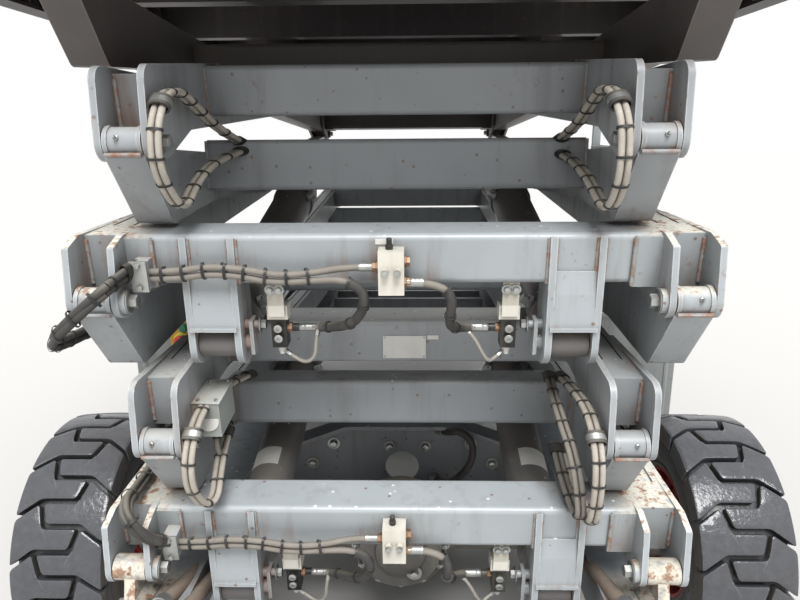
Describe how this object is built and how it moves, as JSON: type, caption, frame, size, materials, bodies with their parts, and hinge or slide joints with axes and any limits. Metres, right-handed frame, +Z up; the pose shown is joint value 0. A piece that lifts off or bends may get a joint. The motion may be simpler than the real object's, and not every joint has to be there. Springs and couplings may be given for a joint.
{
  "type": "scissor lift",
  "caption": "Rough-terrain scissor lift, stowed: crossed arm frames, hydraulic cylinders, railed platform with sliding deck extension, side cabinets and steered wheels.",
  "frame": {"origin": "on the ground under the middle of the machine", "axes": "+X to the machine's right seen from the pinned end, +Y from the pinned end of the arms to their sliding end, +Z up"},
  "size_m": [2.25, 3.96, 3.345],
  "materials": {
    "frame_paint": "blue-grey gloss paint, worn pale along its edges",
    "roller": "hard nylon",
    "cylinder_paint": "dark grey paint",
    "rod": "polished hard chrome",
    "tyre": "dusty black rubber",
    "rim_paint": "deep red paint",
    "steel": "zinc plated steel",
    "valve": "zinc plated and anodised blocks",
    "hose": "dusty rubber hose in a pale sleeve",
    "sensor": "grey case",
    "engine": "plain block",
    "panel": "yellow plate",
    "platform_paint": "dark paint, dusty underneath",
    "deck": "tread plate",
    "rail_paint": "blue-grey paint",
    "control": "moulded case"
  },
  "bodies": {
    "chassis": {"chassis_frame": "frame_paint", "tie_down_lugs": "frame_paint", "near_axle": "frame_paint", "far_axle": "frame_paint", "left_cabinet": "frame_paint", "right_cabinet": "frame_paint", "engine_block": "engine", "ground_panel": "panel", "ladder": "steel"},
    "platform": {"platform_frame": "platform_paint", "platform_deck": "deck", "platform_rails": "rail_paint"},
    "extension": {"extension_deck": "deck", "extension_rails": "rail_paint", "control_box": "control"},
    "gate": {"gate": "rail_paint"},
    "left_door": {"left_door": "frame_paint"},
    "right_door": {"right_door": "frame_paint"},
    "knuckle_left": {"knuckle_left": "frame_paint"},
    "knuckle_right": {"knuckle_right": "frame_paint"},
    "tie_rod": {"tie_rod": "steel"},
    "wheel_near_left": {"tyre_near_left": "tyre", "rim_near_left": "rim_paint"},
    "wheel_near_right": {"tyre_near_right": "tyre", "rim_near_right": "rim_paint"},
    "wheel_far_left": {"tyre_far_left": "tyre", "rim_far_left": "rim_paint"},
    "wheel_far_right": {"tyre_far_right": "tyre", "rim_far_right": "rim_paint"},
    "outer_1": {"outer_arms_1": "frame_paint", "lower_valves": "valve", "lower_hoses": "hose"},
    "inner_1": {"inner_arms_1": "frame_paint", "base_rollers": "roller"},
    "outer_2": {"outer_arms_2": "frame_paint"},
    "inner_2": {"inner_arms_2": "frame_paint", "sensor_box": "sensor"},
    "outer_3": {"outer_arms_3": "frame_paint", "upper_valves": "valve", "upper_hoses": "hose"},
    "inner_3": {"inner_arms_3": "frame_paint"},
    "outer_4": {"outer_arms_4": "frame_paint"},
    "inner_4": {"inner_arms_4": "frame_paint", "platform_rollers": "roller"},
    "lower_barrels": {"lower_cylinder_barrels": "cylinder_paint"},
    "lower_rods": {"lower_cylinder_rods": "rod"},
    "upper_barrels": {"upper_cylinder_barrels": "cylinder_paint"},
    "upper_rods": {"upper_cylinder_rods": "rod"}
  },
  "joints": [
    {"name": "lift", "type": "hinge", "parent": "chassis", "child": "outer_1", "pos_m": [0, -1.83, 0.715], "axis": [1, 0, 0], "range_deg": [0, 55]},
    {"name": "cross_1", "type": "hinge", "parent": "outer_1", "child": "inner_1", "pos_m": [0, -0.13778, 0.8775], "axis": [1, 0, 0], "range_deg": [-110, 0]},
    {"name": "outer_link_2", "type": "hinge", "parent": "outer_1", "child": "outer_2", "pos_m": [0, 1.55443, 1.04], "axis": [1, 0, 0], "range_deg": [-110, 0]},
    {"name": "inner_link_2", "type": "hinge", "parent": "inner_1", "child": "inner_2", "pos_m": [0, -1.83, 1.04], "axis": [1, 0, 0], "range_deg": [0, 110]},
    {"name": "outer_link_3", "type": "hinge", "parent": "outer_2", "child": "outer_3", "pos_m": [0, -1.83, 1.365], "axis": [1, 0, 0], "range_deg": [0, 110]},
    {"name": "inner_link_3", "type": "hinge", "parent": "inner_2", "child": "inner_3", "pos_m": [0, 1.55443, 1.365], "axis": [1, 0, 0], "range_deg": [-110, 0]},
    {"name": "outer_link_4", "type": "hinge", "parent": "outer_3", "child": "outer_4", "pos_m": [0, 1.55443, 1.69], "axis": [1, 0, 0], "range_deg": [-110, 0]},
    {"name": "inner_link_4", "type": "hinge", "parent": "inner_3", "child": "inner_4", "pos_m": [0, -1.83, 1.69], "axis": [1, 0, 0], "range_deg": [0, 110]},
    {"name": "platform_pin", "type": "hinge", "parent": "outer_4", "child": "platform", "pos_m": [0, -1.83, 2.015], "axis": [1, 0, 0], "range_deg": [0, 55]},
    {"name": "lower_cylinder_tilt", "type": "hinge", "parent": "outer_1", "child": "lower_barrels", "pos_m": [0, -1.7434, 0.59774], "axis": [1, 0, 0], "range_deg": [0, 11.3]},
    {"name": "lower_cylinder_stroke", "type": "slide", "parent": "lower_barrels", "child": "lower_rods", "axis": [0, 0.9749, 0.2229], "range_m": [0, 0.82]},
    {"name": "upper_cylinder_tilt", "type": "hinge", "parent": "outer_3", "child": "upper_barrels", "pos_m": [0, -1.7434, 1.24774], "axis": [1, 0, 0], "range_deg": [0, 11.3]},
    {"name": "upper_cylinder_stroke", "type": "slide", "parent": "upper_barrels", "child": "upper_rods", "axis": [0, 0.9749, 0.2229], "range_m": [0, 0.82]},
    {"name": "extension_slide", "type": "slide", "parent": "platform", "child": "extension", "axis": [0, 1, 0], "range_m": [0, 1.2]},
    {"name": "gate_swing", "type": "hinge", "parent": "platform", "child": "gate", "pos_m": [0.951, 0.133, 2.7], "axis": [0, 0, 1], "range_deg": [0, 90]},
    {"name": "left_door_lift", "type": "hinge", "parent": "chassis", "child": "left_door", "pos_m": [-1.0725, -0.02, 1.017], "axis": [0, 1, 0], "range_deg": [0, 95]},
    {"name": "right_door_lift", "type": "hinge", "parent": "chassis", "child": "right_door", "pos_m": [1.0725, -0.3, 1.017], "axis": [0, -1, 0], "range_deg": [0, 95]},
    {"name": "steer_left", "type": "hinge", "parent": "chassis", "child": "knuckle_left", "pos_m": [-0.79, 1.19, 0.3875], "axis": [0, 0, 1], "range_deg": [-30, 30]},
    {"name": "steer_right", "type": "hinge", "parent": "chassis", "child": "knuckle_right", "pos_m": [0.79, 1.19, 0.3875], "axis": [0, 0, 1], "range_deg": [-30, 30]},
    {"name": "tie_rod_pivot", "type": "hinge", "parent": "knuckle_left", "child": "tie_rod", "pos_m": [-0.79, 1.04, 0.3], "axis": [0, 0, 1], "range_deg": [-30, 30]},
    {"name": "spin_near_left", "type": "hinge", "parent": "chassis", "child": "wheel_near_left", "pos_m": [-0.9925, -1.19, 0.3875], "axis": [1, 0, 0], "continuous": true},
    {"name": "spin_near_right", "type": "hinge", "parent": "chassis", "child": "wheel_near_right", "pos_m": [0.9925, -1.19, 0.3875], "axis": [1, 0, 0], "continuous": true},
    {"name": "spin_far_left", "type": "hinge", "parent": "knuckle_left", "child": "wheel_far_left", "pos_m": [-0.9925, 1.19, 0.3875], "axis": [1, 0, 0], "continuous": true},
    {"name": "spin_far_right", "type": "hinge", "parent": "knuckle_right", "child": "wheel_far_right", "pos_m": [0.9925, 1.19, 0.3875], "axis": [1, 0, 0], "continuous": true}
  ],
  "couplings": [
    {"joint": "cross_1", "follows": "lift", "ratio": -2},
    {"joint": "outer_link_2", "follows": "lift", "ratio": -2},
    {"joint": "inner_link_2", "follows": "lift", "ratio": 2},
    {"joint": "outer_link_3", "follows": "lift", "ratio": 2},
    {"joint": "inner_link_3", "follows": "lift", "ratio": -2},
    {"joint": "outer_link_4", "follows": "lift", "ratio": -2},
    {"joint": "inner_link_4", "follows": "lift", "ratio": 2},
    {"joint": "platform_pin", "follows": "lift", "ratio": 1},
    {"joint": "lower_cylinder_tilt", "follows": "lift", "ratio": 0.2042},
    {"joint": "lower_cylinder_stroke", "follows": "lift", "m_per_rad": 0.8484},
    {"joint": "upper_cylinder_tilt", "follows": "lift", "ratio": 0.2042},
    {"joint": "upper_cylinder_stroke", "follows": "lift", "m_per_rad": 0.8484},
    {"joint": "steer_right", "follows": "steer_left", "ratio": 1},
    {"joint": "tie_rod_pivot", "follows": "steer_left", "ratio": -1}
  ]
}
